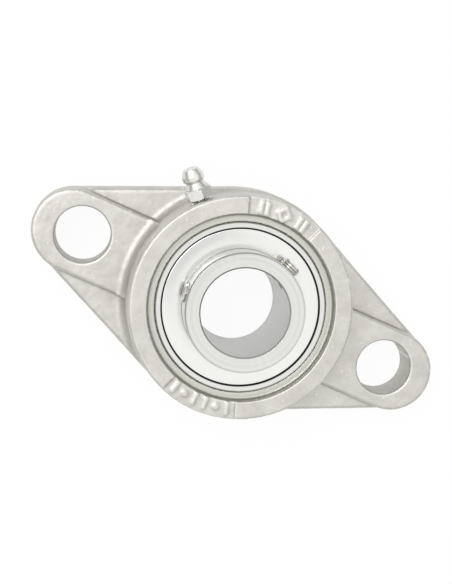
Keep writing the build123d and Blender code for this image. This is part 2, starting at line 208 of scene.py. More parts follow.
def row_mesh(name: str, rows: Sequence[np.ndarray], place: Matrix, closed: bool) -> bpy.types.Object:
    """Skin a stack of closed rows of points.

    Args:
        name: The piece's name.
        rows: Each row is an (N, 3) array in millimetres, with the same N in all rows.
        place: The piece's frame.
        closed: Whether the last row joins the first, otherwise both ends are capped.

    Returns:
        The new object.
    """
    count = len(rows[0])
    verts = np.concatenate(rows)
    faces: list[tuple[int, ...]] = []
    pairs = len(rows) if closed else len(rows) - 1
    for i in range(pairs):
        low, high = i * count, ((i + 1) % len(rows)) * count
        for j in range(count):
            k = (j + 1) % count
            faces.append((low + j, low + k, high + k, high + j))
    if not closed:
        faces.append(tuple(range(count))[::-1])
        faces.append(tuple((len(rows) - 1) * count + j for j in range(count)))
    return mesh_object(name, verts, faces, place)


def around(count: int) -> np.ndarray:
    """Evenly spaced angles of one turn, in radians."""
    return np.linspace(0, 2 * math.pi, count, endpoint=False)


def row_at(angles: np.ndarray, radius: Any, height: Any) -> np.ndarray:
    """One closed row of points about Z.

    Args:
        angles: The points' angles in radians.
        radius: One radius for the row, or one for each point.
        height: The row's height.

    Returns:
        An (N, 3) array.
    """
    ones = np.ones(len(angles))
    reach = radius * ones
    return np.column_stack([np.cos(angles) * reach, np.sin(angles) * reach, height * ones])


def turned(
    name: str,
    corners: Sequence[Corner],
    place: Matrix = UPRIGHT,
    segments: int = 192,
    closed: bool = True,
) -> bpy.types.Object:
    """Turn an outline into a ring, or into a solid whose two ends are capped.

    Args:
        name: The piece's name.
        corners: Its outline.
        place: Its frame.
        segments: Facets around the axis.
        closed: True for a ring.

    Returns:
        The new object.
    """
    angles = around(segments)
    rows = [row_at(angles, radius, height) for radius, height in rounded(corners, closed)]
    return row_mesh(name, rows, place, closed)


def thread_flank(height: float, turn: np.ndarray, pitch: float) -> np.ndarray:
    """How much of a thread's depth stands up at a height.

    Args:
        height: Height along the thread.
        turn: Each point's share of a turn.
        pitch: The thread's pitch.

    Returns:
        A share for each point, from 0 at the root to 1 at the crest.
    """
    phase = np.mod(height / pitch - turn, 1.0)
    ridge = 1 - np.abs(phase * 2 - 1)
    return np.clip((ridge - THREAD_ROOT) / THREAD_FLANK, 0, 1)


def settle(piece: bpy.types.Object) -> None:
    """Turn a piece's modifiers into its mesh.

    Args:
        piece: The piece, left without modifiers.
    """
    bpy.context.view_layer.update()
    result = bpy.data.meshes.new_from_object(piece.evaluated_get(bpy.context.evaluated_depsgraph_get()))
    piece.modifiers.clear()
    piece.data = result


def cut(piece: bpy.types.Object, cutter: bpy.types.Object) -> None:
    """Cut one mesh out of another and drop the cutter.

    Args:
        piece: The piece that is cut.
        cutter: The mesh that is taken away from it.
    """
    step = piece.modifiers.new("cut", "BOOLEAN")
    step.operation = "DIFFERENCE"
    step.solver = "EXACT"
    step.object = cutter
    settle(piece)
    bpy.data.objects.remove(cutter)


def values_of(items: Any, attribute: str, width: int = 3, kind: type = float) -> np.ndarray:
    """Read an attribute of all of a mesh's vertices, edges or faces.

    Args:
        items: The mesh's vertices, edges or polygons.
        attribute: The attribute's name.
        width: Values in each.
        kind: Type of the values.

    Returns:
        An array with one row for each item.
    """
    values = np.empty(len(items) * width, dtype=kind)
    items.foreach_get(attribute, values)
    return values.reshape(-1, width)


def fit(
    piece: bpy.types.Object, body: str, slot: str, material: bpy.types.Material, *nodes: str
) -> bpy.types.Object:
    """Dress a new piece and hang it on its body in place of its CAD nodes.

    Args:
        piece: The piece.
        body: The CAD body it rides on.
        slot: The record's material slot; not used.
        material: Its material.
        nodes: The CAD nodes it stands for.

    Returns:
        The same piece.
    """
    piece.data.materials.clear()
    piece.data.materials.append(material)
    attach(piece, body)
    if nodes:
        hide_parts(*nodes)
    LOG.info("%s: %d faces on %s", piece.name, len(piece.data.polygons), body)
    return piece


def dress(node_name: str, material: bpy.types.Material) -> None:
    """Give a CAD node that stays in view its material.

    Args:
        node_name: The node's name.
        material: Its material.
    """
    node = frame["nodes"][node_name]
    for place in node.material_slots:
        place.material = material
    LOG.info("%s keeps its CAD mesh", node_name)


# -------------------------------------------------------------------------- shader tools


def feed(tree: bpy.types.NodeTree, socket: bpy.types.NodeSocket, value: Any) -> None:
    """Link an input to a node, or set its value.

    Args:
        tree: The shader tree.
        socket: The input.
        value: Another node's output, a number, a vector, or a colour without its alpha.
    """
    if isinstance(value, bpy.types.NodeSocket):
        tree.links.new(value, socket)
    elif socket.type == "RGBA" and isinstance(value, tuple):
        socket.default_value = (*value, 1.0)
    else:
        socket.default_value = value


class Shader:
    """Adds and links the nodes of one shader tree."""

    def __init__(self, tree: bpy.types.NodeTree) -> None:
        """Start on an empty tree."""
        self.tree = tree
        tree.nodes.clear()

    def add(self, kind: str, inputs: Sockets | None = None, **settings: Any) -> bpy.types.Node:
        """Add a node.

        Args:
            kind: The node's type without its ShaderNode prefix.
            inputs: Values or sockets, by input name or number.
            settings: The node's own properties.

        Returns:
            The node.
        """
        made = self.tree.nodes.new("ShaderNode" + kind)
        for name, value in settings.items():
            setattr(made, name, value)
        for name, value in (inputs or {}).items():
            feed(self.tree, made.inputs[name], value)
        return made

    def math(self, operation: str, a: Any, b: Any = 0.0, clamp: bool = False) -> bpy.types.NodeSocket:
        """Result of a Math node."""
        return self.add("Math", {0: a, 1: b}, operation=operation, use_clamp=clamp).outputs[0]

    def mix(self, factor: Any, a: Any, b: Any) -> bpy.types.NodeSocket:
        """Mix two colours.

        Args:
            factor: Share of the second colour.
            a: The first colour.
            b: The second colour.

        Returns:
            The mixed colour.
        """
        made = self.add("Mix", data_type="RGBA")
        for number, value in ((0, factor), (6, a), (7, b)):
            feed(self.tree, made.inputs[number], value)
        return made.outputs[2]

    def span(
        self, value: Any, low: float, high: float, to_low: float = 0.0, to_high: float = 1.0
    ) -> bpy.types.NodeSocket:
        """A value carried from one range to another, held at its ends."""
        inputs = {0: value, 1: low, 2: high, 3: to_low, 4: to_high}
        return self.add("MapRange", inputs, clamp=True).outputs[0]

    def place(self) -> bpy.types.NodeSocket:
        """Object coordinates, which move with the piece."""
        return self.add("TexCoord").outputs["Object"]

    def noise(
        self, vector: Any, scale: Any, detail: float = 3.0, roughness: float = 0.55
    ) -> bpy.types.NodeSocket:
        """Noise value from 0 to 1."""
        inputs = {"Vector": vector, "Scale": scale, "Detail": detail, "Roughness": roughness}
        return self.add("TexNoise", inputs).outputs[0]


class Group:
    """A shared effect: a shader node group with named sockets."""

    def __init__(self, name: str, inputs: dict[str, tuple[str, Any]], outputs: dict[str, str]) -> None:
        """Args:
            name: The group's name.
            inputs: Socket name to its kind and default value.
            outputs: Socket name to its kind.
        """
        self.tree = bpy.data.node_groups.new(name, "ShaderNodeTree")
        self.shader = Shader(self.tree)
        for label, (kind, value) in inputs.items():
            socket = self.tree.interface.new_socket(label, in_out="INPUT", socket_type="NodeSocket" + kind)
            socket.default_value = (*value, 1.0) if kind == "Color" else value
        for label, kind in outputs.items():
            self.tree.interface.new_socket(label, in_out="OUTPUT", socket_type="NodeSocket" + kind)
        self.given = self.tree.nodes.new("NodeGroupInput").outputs
        self.result = self.tree.nodes.new("NodeGroupOutput").inputs

    def send(self, label: str, value: bpy.types.NodeSocket) -> None:
        """Wire a value to one of the group's outputs."""
        self.tree.links.new(value, self.result[label])

    def use(self, shader: Shader, inputs: Sockets) -> bpy.types.Node:
        """Place the group in a material.

        Args:
            shader: The material's shader tools.
            inputs: Values or sockets, by input name.

        Returns:
            The group's node.
        """
        made = shader.tree.nodes.new("ShaderNodeGroup")
        made.node_tree = self.tree
        for label, value in inputs.items():
            feed(shader.tree, made.inputs[label], value)
        return made


def blasted_grain() -> Group:
    """Fine blasted casting skin: grain, small pits and bright specks.

    Returns:
        The group.
    """
    group = Group(
        "Blasted grain",
        {
            "Colour": ("Color", (0.6, 0.6, 0.6)),
            "Shade": ("Color", (0.4, 0.4, 0.4)),
            "Speck": ("Color", (0.9, 0.9, 0.9)),
            "Grain Scale": ("Float", 3800.0),
            "Pit Scale": ("Float", 900.0),
            "Roughness": ("Float", 0.55),
        },
        {"Color": "Color", "Roughness": "Float", "Height": "Float"},
    )
    s, given = group.shader, group.given
    place = s.place()
    grain = s.noise(place, given["Grain Scale"], 4.0, 0.6)
    clouds = s.noise(place, 160.0, 4.0, 0.6)
    blotch = s.noise(place, 700.0, 3.0, 0.6)
    spots = {"Vector": place, "Scale": given["Pit Scale"], "Randomness": 1.0}
    pits = s.add("TexVoronoi", spots, feature="F1")
    lot = s.add("TexWhiteNoise", {"Vector": pits.outputs["Position"]}, noise_dimensions="3D")
    choice = lot.outputs["Value"]
    near = s.span(pits.outputs["Distance"], 0.06, 0.24, 1.0, 0.0)
    pit = s.math("MULTIPLY", near, s.span(choice, 0.80, 0.88))
    speck = s.math("MULTIPLY", near, s.span(choice, 0.16, 0.10))
    tone = s.math("ADD", s.span(clouds, 0.32, 0.68, 0.0, 0.5), s.span(blotch, 0.3, 0.7, 0.0, 0.3))
    tone = s.math("ADD", tone, s.span(grain, 0.3, 0.7, 0.0, 0.35))
    colour = s.mix(s.span(tone, 0.2, 1.0), given["Shade"], given["Colour"])
    colour = s.mix(s.math("MULTIPLY", pit, 0.45), colour, given["Shade"])
    colour = s.mix(s.math("MULTIPLY", speck, 0.8), colour, given["Speck"])
    rough = s.math("ADD", given["Roughness"], s.span(blotch, 0.3, 0.7, -0.05, 0.06))
    rough = s.math("SUBTRACT", rough, s.math("MULTIPLY", speck, 0.2))
    height = s.math("ADD", s.math("MULTIPLY", grain, 0.7), s.math("MULTIPLY", blotch, 0.6))
    height = s.math("SUBTRACT", height, s.math("MULTIPLY", pit, 0.8))
    height = s.math("ADD", height, s.math("MULTIPLY", speck, 0.4))
    group.send("Color", colour)
    group.send("Roughness", rough)
    group.send("Height", height)
    return group


def lathe_lines() -> Group:
    """Fine circular tool marks about the shaft axis, on faces and on cylinders alike.

    Returns:
        The group.
    """
    group = Group(
        "Lathe lines",
        {"Line Scale": ("Float", 9000.0)},
        {"Height": "Float", "Tone": "Float"},
    )
    s, given = group.shader, group.given
    parts = s.add("SeparateXYZ", {0: s.place()}).outputs
    squares = [s.math("MULTIPLY", parts[i], parts[i]) for i in range(2)]
    radius = s.math("SQRT", s.math("ADD", *squares))
    # this runs outwards along a face and upwards along a cylinder, so both carry lines
    along = s.math("ADD", radius, s.math("MULTIPLY", parts[2], 0.83))
    fine_lines = {"W": along, "Scale": given["Line Scale"], "Detail": 3.0, "Roughness": 0.7}
    fine = s.add("TexNoise", fine_lines, noise_dimensions="1D").outputs[0]
    broad_lines = {"W": along, "Scale": s.math("MULTIPLY", given["Line Scale"], 0.12), "Detail": 2.0}
    broad = s.add("TexNoise", broad_lines, noise_dimensions="1D").outputs[0]
    halves = [s.math("MULTIPLY", lines, 0.5) for lines in (fine, broad)]
    group.send("Height", fine)
    group.send("Tone", s.math("ADD", *halves))
    return group


def edge_wear_and_shade() -> Group:
    """Brighter metal along rubbed outer edges, and painted shade: darker colour in inner corners, where
    shade falls.

    Returns:
        The group.
    """
    group = Group(
        "Edge wear",
        {
            "Colour": ("Color", (0.6, 0.6, 0.6)),
            "Edge": ("Color", (0.9, 0.9, 0.9)),
            # Corner is the colour of the painted shade in inner corners
            "Corner": ("Color", (0.3, 0.3, 0.3)),
            "Amount": ("Float", 0.5),
        },
        {"Color": "Color"},
    )
    s, given = group.shader, group.given
    sharp = s.add("NewGeometry").outputs["Pointiness"]
    breakup = s.noise(s.place(), 1300.0, 3.0)
    outer = s.math("MULTIPLY", s.span(sharp, 0.505, 0.56), s.span(breakup, 0.3, 0.65, 0.45, 1.0))
    outer = s.math("MULTIPLY", outer, given["Amount"], True)
    # painted shade: concave corners and creases turn towards the Corner colour, where shade falls
    inner = s.math("MULTIPLY", s.span(sharp, 0.495, 0.44), given["Amount"], True)
    colour = s.mix(outer, given["Colour"], given["Edge"])
    group.send("Color", s.mix(inner, colour, given["Corner"]))
    return group


def oil_film() -> Group:
    """Faint clouds in the gloss, as a thin preserving oil leaves.

    Returns:
        The group.
    """
    group = Group(
        "Oil film",
        {"Roughness": ("Float", 0.3), "Spread": ("Float", 0.05)},
        {"Roughness": "Float", "Cloud": "Float"},
    )
    s, given = group.shader, group.given
    cloud = s.noise(s.place(), 220.0, 3.0)
    shift = s.math("MULTIPLY", s.math("SUBTRACT", cloud, 0.5), given["Spread"])
    group.send("Roughness", s.math("ADD", given["Roughness"], s.math("MULTIPLY", shift, 2.0), True))
    group.send("Cloud", cloud)
    return group


class Effects:
    """The shared groups, each built once."""

    def __init__(self) -> None:
        """Build them all."""
        self.grain = blasted_grain()
        self.lines = lathe_lines()
        self.wear_and_shade = edge_wear_and_shade()
        self.film = oil_film()


# ------------------------------------------------------------------------------ finishes


def surface(name: str) -> tuple[bpy.types.Material, Shader, bpy.types.Node]:
    """Start a material.

    Args:
        name: The material's name.

    Returns:
        The material, its shader tools and its Principled BSDF.
    """
    material = bpy.data.materials.new(name)
    material.use_nodes = True
    shader = Shader(material.node_tree)
    principled = shader.add("BsdfPrincipled")
    shader.add("OutputMaterial", {"Surface": principled.outputs[0]})
    return material, shader, principled


@dataclass(frozen=True)
class CastFinish:
    """Blasted stainless casting."""

    name: str
    colour: Colour
    shade: Colour
    speck: Colour
    # corner: the painted shade colour of concave corners and fillets
    corner: Colour
    roughness: float
    relief: float
    metallic: float = 1.0

    def make(self, effects: Effects) -> bpy.types.Material:
        """Build the material from the shared effects.

        Args:
            effects: The shared node groups.

        Returns:
            The material.
        """
        material, s, principled = surface(self.name)
        grain = effects.grain.use(
            s, {"Colour": self.colour, "Shade": self.shade, "Speck": self.speck, "Roughness": self.roughness}
        )
        # outer edges brighten with real wear, inner corners take the painted shade
        wear_and_shade = effects.wear_and_shade.use(
            s, {"Colour": grain.outputs["Color"], "Edge": self.speck, "Corner": self.corner, "Amount": 0.7}
        )
        relief = {"Strength": 0.55, "Distance": self.relief * MM, "Height": grain.outputs["Height"]}
        bump = s.add("Bump", relief)
        links = s.tree.links
        links.new(wear_and_shade.outputs["Color"], principled.inputs["Base Color"])
        links.new(grain.outputs["Roughness"], principled.inputs["Roughness"])
        links.new(bump.outputs[0], principled.inputs["Normal"])
        principled.inputs["Metallic"].default_value = self.metallic
        return material


@dataclass(frozen=True)
class TurnedFinish:
    """Ground or turned steel with circular tool marks."""

    name: str
    colour: Colour
    shade: Colour
    roughness: float
    line_scale: float
    relief: float
    anisotropic: float = 0.0
    spread: float = 0.04

    def make(self, effects: Effects) -> bpy.types.Material:
        """Build the material from the shared effects.

        Args:
            effects: The shared node groups.

        Returns:
            The material.
        """
        material, s, principled = surface(self.name)
        lines = effects.lines.use(s, {"Line Scale": self.line_scale})
        film = effects.film.use(s, {"Roughness": self.roughness, "Spread": self.spread})
        toned = s.mix(s.span(lines.outputs["Tone"], 0.3, 0.7), self.shade, self.colour)
        # inner corners take the shade colour as painted shade
        wear_and_shade = effects.wear_and_shade.use(
            s, {"Colour": toned, "Edge": self.colour, "Corner": self.shade, "Amount": 0.4}
        )
        relief = {"Strength": 0.5, "Distance": self.relief * MM, "Height": lines.outputs["Height"]}
        bump = s.add("Bump", relief)
        links = s.tree.links
        links.new(wear_and_shade.outputs["Color"], principled.inputs["Base Color"])
        links.new(film.outputs["Roughness"], principled.inputs["Roughness"])
        links.new(bump.outputs[0], principled.inputs["Normal"])
        principled.inputs["Metallic"].default_value = 1.0
        if self.anisotropic:
            principled.inputs["Anisotropic"].default_value = self.anisotropic
            tangent = s.add("Tangent", direction_type="RADIAL", axis="Z")
            links.new(tangent.outputs[0], principled.inputs["Tangent"])
        return material


@dataclass(frozen=True)
class BrightFinish:
    """Bright small parts: plated, tumbled or polished metal without a shared axis."""

    name: str
    colour: Colour
    shade: Colour
    roughness: float
    relief: float
    spread: float = 0.06
    # corner: the painted shade colour of inner corners and thread roots
    corner: Colour = (0.30, 0.29, 0.27)
    corner_amount: float = 0.6

    def make(self, effects: Effects) -> bpy.types.Material:
        """Build the material from the shared effects.

        Args:
            effects: The shared node groups.

        Returns:
            The material.
        """
        material, s, principled = surface(self.name)
        film = effects.film.use(s, {"Roughness": self.roughness, "Spread": self.spread})
        dents = s.noise(s.place(), 1500.0, 4.0)
        toned = s.mix(s.span(dents, 0.35, 0.65), self.shade, self.colour)
        # inner corners and thread roots take the painted shade colour
        wear_and_shade = effects.wear_and_shade.use(
            s, {"Colour": toned, "Edge": self.colour, "Corner": self.corner, "Amount": self.corner_amount}
        )
        bump = s.add("Bump", {"Strength": 0.4, "Distance": self.relief * MM, "Height": dents})
        links = s.tree.links
        links.new(wear_and_shade.outputs["Color"], principled.inputs["Base Color"])
        links.new(film.outputs["Roughness"], principled.inputs["Roughness"])
        links.new(bump.outputs[0], principled.inputs["Normal"])
        principled.inputs["Metallic"].default_value = 1.0
        return material


@dataclass(frozen=True)
class RubberFinish:
    """Moulded nitrile rubber."""

    name: str
    colour: Colour
    bloom: Colour
    roughness: float

    def make(self, effects: Effects) -> bpy.types.Material:
        """Build the material from the shared effects.

        Args:
            effects: The shared node groups.

        Returns:
            The material.
        """
        material, s, principled = surface(self.name)
        film = effects.film.use(s, {"Roughness": self.roughness, "Spread": 0.1})
        skin = s.noise(s.place(), 5200.0, 3.0)
        toned = s.mix(s.span(film.outputs["Cloud"], 0.35, 0.7), self.colour, self.bloom)
        bump = s.add("Bump", {"Strength": 0.35, "Distance": 0.02 * MM, "Height": skin})
        links = s.tree.links
        links.new(toned, principled.inputs["Base Color"])
        links.new(film.outputs["Roughness"], principled.inputs["Roughness"])
        links.new(bump.outputs[0], principled.inputs["Normal"])
        principled.inputs["Specular IOR Level"].default_value = 0.35
        return material


CAST = CastFinish(
    "cast stainless",
    colour=(0.66, 0.65, 0.615),
    shade=(0.515, 0.505, 0.47),
    speck=(0.95, 0.94, 0.90),
    # painted shade in concave corners and fillets
    corner=(0.22, 0.21, 0.18),
    roughness=0.50,
    relief=0.03,
)
MOUTH = TurnedFinish("bored casting", (0.60, 0.597, 0.548), (0.47, 0.466, 0.425), 0.42, 5000.0, 0.02)
RING = TurnedFinish("ground ring", (0.70, 0.70, 0.685), (0.59, 0.59, 0.57), 0.24, 9000.0, 0.008, 0.35)
FLINGER = TurnedFinish("bright flinger", (0.77, 0.77, 0.758), (0.71, 0.71, 0.698), 0.20, 12000.0, 0.004, 0.6)
SEAL_STEEL = TurnedFinish("seal shell", (0.56, 0.56, 0.55), (0.42, 0.42, 0.41), 0.35, 5000.0, 0.01)
CAGE = BrightFinish("pressed cage", (0.66, 0.65, 0.62), (0.55, 0.54, 0.51), 0.32, 0.02)
BALL = BrightFinish("polished ball", (0.86, 0.86, 0.87), (0.83, 0.83, 0.84), 0.06, 0.0005, 0.01)
SCREW = BrightFinish(
    "turned screw",
    colour=(0.84, 0.83, 0.79),
    shade=(0.72, 0.71, 0.67),
    roughness=0.30,
    relief=0.01,
    # painted shade, darkest in the thread roots
    corner=(0.12, 0.115, 0.10),
    corner_amount=1.0,
)
NIPPLE = BrightFinish("turned nipple", (0.76, 0.755, 0.73), (0.68, 0.675, 0.65), 0.26, 0.008)
SPRING = BrightFinish("spring wire", (0.60, 0.59, 0.57), (0.45, 0.44, 0.42), 0.28, 0.01)
RUBBER = RubberFinish("seal rubber", (0.018, 0.018, 0.020), (0.04, 0.04, 0.042), 0.5)


# ------------------------------------------------------------------------------- housing


@dataclass
class Housing:
    """The one-piece casting, with its bored seat.

    The blends are the widths over which cast skin turns into machined metal, and the pulls are how far a
    point goes towards its neighbours' middle, first in and then part of the way back out.
    """

    voxel: float = 0.31
    smoothing: int = 6
    pulls: tuple[float, float] = (0.55, -0.40)
    machined_share: float = 0.12
    bored_blend: float = 0.4
    base_height: float = 0.3
    blend: float = 0.5
    seat_centre: float = 16.0
    seat_radius: float = 26.0
    seat_gap: float = 0.12
    bored_radius: float = 27.4
    bored_inset: float = 0.25
    bored_top: float = 26.6
    bolt_reach: float = 9.2
    bolt_x: float = 49.5
    swell: float = 0.05
    rough_scale: float = 0.55
    wave_scale: float = 0.14
    finishes: Finishes = field(default_factory=dict)

    def build(self) -> bpy.types.Object:
        """Skin the casting afresh from its CAD shape, soften it and roughen it.

        Returns:
            The casting.
        """
        source = frame["nodes"]["housing"]
        mesh = source.data.copy()
        piece = bpy.data.objects.new("housing_casting", mesh)
        bpy.context.scene.collection.objects.link(piece)
        joiner = bmesh.new()
        joiner.from_mesh(mesh)
        bmesh.ops.remove_doubles(joiner, verts=joiner.verts, dist=CAD_WELD)
        joiner.to_mesh(mesh)
        joiner.free()
        step = piece.modifiers.new("skin", "REMESH")
        step.mode = "VOXEL"
        step.voxel_size = self.voxel * MM
        step.adaptivity = 0.0
        settle(piece)
        skinned = piece.data
        skinned.name = "housing_casting"
        self.soften(skinned)
        skinned.shade_smooth()
        skinned.materials.clear()
        for material in (self.finishes["cast"], self.finishes["bored"]):
            skinned.materials.append(material)
        self.paint(skinned)
        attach(piece, "housing")
        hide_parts("housing")
        LOG.info("housing_casting: %d faces", len(skinned.polygons))
        return piece

    def cast_share(self, points: np.ndarray) -> np.ndarray:
        """Tell cast skin from machined metal.

        Args:
            points: Points in millimetres.

        Returns:
            A share for each point, 1 on cast skin and 0 on machined metal.
        """
        radius = np.hypot(points[:, 0], points[:, 1])
        bored = np.clip((radius - self.bored_radius) / self.bored_blend, 0, 1)
        base = np.clip((points[:, 2] - self.base_height) / self.blend, 0, 1)
        side = np.hypot(np.abs(points[:, 0]) - self.bolt_x, points[:, 1])
        hole = np.clip((side - self.bolt_reach + self.blend) / self.blend, 0, 1)
        return np.minimum(np.minimum(bored, base), hole)

    def soften(self, mesh: bpy.types.Mesh) -> None:
        """Relax the cast skin, add its slight unevenness and clear the insert's seat.

        Args:
            mesh: The casting's mesh.
        """
        count = len(mesh.vertices)
        points = values_of(mesh.vertices, "co") / MM
        edges = values_of(mesh.edges, "vertices", 2, np.int64)
        valence = np.bincount(edges.ravel(), minlength=count).astype(float)
        low, high = points.min(axis=0), points.max(axis=0)
        share = self.cast_share(points)
        weight = (self.machined_share + (1 - self.machined_share) * share)[:, None]
        for pull in self.pulls * self.smoothing:
            total = np.zeros_like(points)
            for axis in range(3):
                total[:, axis] = np.bincount(edges[:, 0], points[edges[:, 1], axis], count)
                total[:, axis] += np.bincount(edges[:, 1], points[edges[:, 0], axis], count)
            points = points + pull * weight * (total / valence[:, None] - points)
        mesh.vertices.foreach_set("co", (points * MM).ravel())
        mesh.update()
        normals = values_of(mesh.vertices, "normal")
        rough = np.array([noise.fractal(Vector(p) * self.rough_scale, 0.9, 2.1, 4) for p in points])
        wave = np.array([noise.noise(Vector(p) * self.wave_scale) for p in points])
        points = points + normals * ((rough * self.swell + wave * self.swell) * share)[:, None]
        centre = np.array([0.0, 0.0, self.seat_centre])
        out = points - centre
        distance = np.linalg.norm(out, axis=1)
        limit = self.seat_radius + self.seat_gap
        inside = distance < limit
        points[inside] = centre + out[inside] * (limit / distance[inside])[:, None]
        points = np.clip(points, low, high)
        mesh.vertices.foreach_set("co", (points * MM).ravel())
        mesh.update()

    def paint(self, mesh: bpy.types.Mesh) -> None:
        """Give the bored faces their own finish.

        Args:
            mesh: The casting's mesh.
        """
        centres = values_of(mesh.polygons, "center") / MM
        radius = np.hypot(centres[:, 0], centres[:, 1])
        bored = (radius < self.bored_radius - self.bored_inset) & (centres[:, 2] < self.bored_top)
        mesh.polygons.foreach_set("material_index", bored.astype(np.int32))


# ------------------------------------------------------------------------ insert bearing


@dataclass
class Insert:
    """Rings, seals and flingers of the bearing insert. Heights are from the bearing's centre."""

    centre: float = 16.0
    inner_radius: float = 17.0
    bore_radius: float = 12.5
    front: float = 19.8
    back: float = -14.3
    outer_chamfer: float = 0.5
    bore_chamfer: float = 0.4
    race_bottom: float = 15.521
    race_radius: float = 4.128
    seal_radius: float = 23.1
    rim_radius: float = 22.9
    rim_top: float = 8.15
    seal_seat: float = 5.6
    rubber_top: float = 6.3
    lip_gap: float = 0.06
    lip_width: float = 0.85
    bead: float = 0.34
    shell_radius: float = 18.4
    shell_depth: float = 0.5
    flinger_radius: float = 22.75
    flinger_top: float = 8.1
    flinger_sheet: float = 0.6
    flinger_rise: float = 0.28
    flinger_rim: float = 1.0
    screw_height: float = 14.8
    screw_angles: tuple[float, float] = (67.0, 187.0)
    hole_radius: float = 3.0
    hole_edge: float = 0.08
    finishes: Finishes = field(default_factory=dict)

    def place(self, side: Side = Side.FRONT) -> Matrix:
        """Frame at the bearing's centre, turned over for the back side."""
        up = -1 if side is Side.BACK else 1
        return placed(Vector((0, 0, self.centre)), Vector((0, 0, up)), Vector((1, 0, 0)))

    def inner_ring(self) -> bpy.types.Object:
        """The extended inner ring with its raceway and two tapped holes.

        Returns:
            The ring.
        """
        middle = self.race_bottom + self.race_radius
        half = math.degrees(math.acos((middle - self.inner_radius) / self.race_radius))
        race = arc((middle, 0), self.race_radius, 180 + half, 180 - half, 24)
        bore, outer = self.bore_radius, self.inner_radius
        edge, lead = self.outer_chamfer, self.bore_chamfer
        outline = [
            *race,
            Corner(outer, self.front - edge, 0.12),
            Corner(outer - edge, self.front, 0.12),
            Corner(bore + lead, self.front, 0.1),
            Corner(bore, self.front - lead, 0.1),
            Corner(bore, self.back + lead, 0.1),
            Corner(bore + lead, self.back, 0.1),
            Corner(outer - edge, self.back, 0.12),
            Corner(outer, self.back + edge, 0.12),
        ]
        ring = turned("inner_ring_ground", outline, self.place(), 256)
        for angle in self.screw_angles:
            cut(ring, self.tapped_hole(angle))
        ring.data.shade_smooth()
        ring.data.set_sharp_from_angle(angle=SHARP_ANGLE)
        return fit(ring, "inner_ring", "ring_steel", self.finishes["ring"], "inner_ring")

    def tapped_hole(self, angle: float) -> bpy.types.Object:
        """Cutter for one set screw hole, its edge just broken where it leaves the ring.

        Args:
            angle: The hole's angle in degrees.

        Returns:
            The cutter.
        """
        origin = Vector((0, 0, self.centre + self.screw_height))
        place = placed(origin, outward(angle), Vector((0, 0, 1)))
        top, narrow, wide = self.inner_radius, self.hole_radius, self.hole_radius + self.hole_edge
        outline = [
            Corner(narrow, top * 0.6),
            Corner(narrow, top - 0.3),
            Corner(wide, top - 0.2),
            Corner(wide, top + 2),
        ]
        return turned("cutter", outline, place, 64, closed=False)

    def flinger(self, side: Side) -> bpy.types.Object:
        """A pressed sheet disc with its rim and hub turned in.

        Args:
            side: The side it covers.

        Returns:
            The disc.
        """
        sheet, top, rim, hub = self.flinger_sheet, self.flinger_top, self.flinger_radius, self.inner_radius
        low = top - self.flinger_rim
        outline = [
            Corner(hub, top + self.flinger_rise, 0.18),
            Corner(rim, top, 0.34),
            Corner(rim, low, 0.08),
            Corner(rim - sheet, low, 0.08),
            Corner(rim - sheet, top - sheet, 0.1),
            Corner(hub + sheet, top - sheet + self.flinger_rise, 0.1),
            Corner(hub + sheet, low, 0.08),
            Corner(hub, low, 0.08),
        ]
        disc = turned(f"{side.value}_flinger_disc", outline, self.place(side), 256)
        return fit(disc, "inner_ring", "flinger_steel", self.finishes["flinger"], f"{side.value}_flinger")

    def seal(self, side: Side) -> None:
        """Rubber seal with its lip and bead, and the steel shell bonded to it.

        Args:
            side: The side it closes.
        """
        seat, top, rim = self.seal_seat, self.rubber_top, self.rim_radius
        lip = self.inner_radius + self.lip_gap
        crest = self.seal_radius + self.bead
        outline = [
            Corner(lip, top + 0.35, 0.05),
            Corner(lip, top, 0.1),
            Corner(lip + self.lip_width, seat, 0.2),
            Corner(self.seal_radius, seat, 0.1),
            Corner(self.seal_radius, seat + 0.35, 0.05),
            Corner(crest, seat + 0.37, 0.15),
            Corner(crest, seat + 1.13, 0.15),
            Corner(self.seal_radius, seat + 1.15, 0.05),
            Corner(self.seal_radius, self.rim_top, 0.08),
            Corner(rim, self.rim_top, 0.08),
            Corner(rim, top, 0.05),
            Corner(lip + self.lip_width, top, 0.1),
        ]
        rubber = turned(f"{side.value}_seal_moulding", outline, self.place(side), 256)
        fit(rubber, "insert", "seal_rubber", self.finishes["rubber"], f"{side.value}_seal_rubber")
        shell = [
            Corner(self.shell_radius, top, 0.1),
            Corner(rim, top, 0.05),
            Corner(rim, top + self.shell_depth, 0.2),
            Corner(self.shell_radius, top + self.shell_depth, 0.15),
        ]
        steel = turned(f"{side.value}_seal_pressing", shell, self.place(side), 192)
        fit(steel, "insert", "seal_steel", self.finishes["seal"], f"{side.value}_seal_shell")

    def build(self) -> None:
        """Make the turned pieces and dress the CAD nodes that stay."""
        self.inner_ring()
        for side in Side:
            self.flinger(side)
            self.seal(side)
        dress("outer_ring", self.finishes["ring"])
        for name in ("cage_front", "cage_back", "cage_rivets"):
            dress(name, self.finishes["cage"])
        for node_name in frame["nodes"]:
            if node_name.startswith("ball_"):
                dress(node_name, self.finishes["ball"])


# ---------------------------------------------------------------------------- set screws


